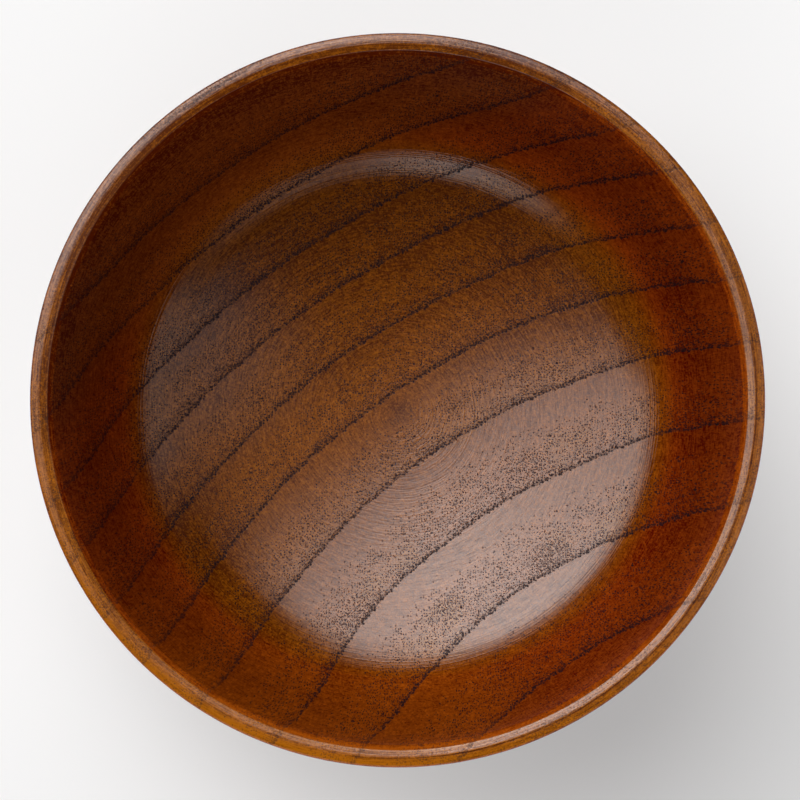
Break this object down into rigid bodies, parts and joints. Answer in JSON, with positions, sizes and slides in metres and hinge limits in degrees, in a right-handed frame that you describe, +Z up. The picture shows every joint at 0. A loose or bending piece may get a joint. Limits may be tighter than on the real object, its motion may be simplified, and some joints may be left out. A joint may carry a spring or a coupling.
{
  "type": "wooden soup bowl",
  "caption": "Round turned wooden soup bowl with a dished floor, steep wall, rounded lip, glued foot ring and clear lacquer finish.",
  "frame": {"origin": "centre of the foot ring's standing face, on the surface that the bowl stands on", "axes": "+Z up along the turning axis, out of the bowl's mouth; X and Y are any two directions across it"},
  "size_m": [0.12, 0.12, 0.067],
  "materials": {
    "bowl_wood": "satin",
    "foot_wood": "satin",
    "glue": "matte",
    "clear_lacquer": "gloss"
  },
  "bodies": {
    "root": {"bowl_body": "bowl_wood", "foot_ring": "foot_wood", "foot_glue_line": "glue", "inner_lacquer_coat": "clear_lacquer", "outer_lacquer_coat": "clear_lacquer", "recess_lacquer_coat": "clear_lacquer"}
  },
  "joints": []
}
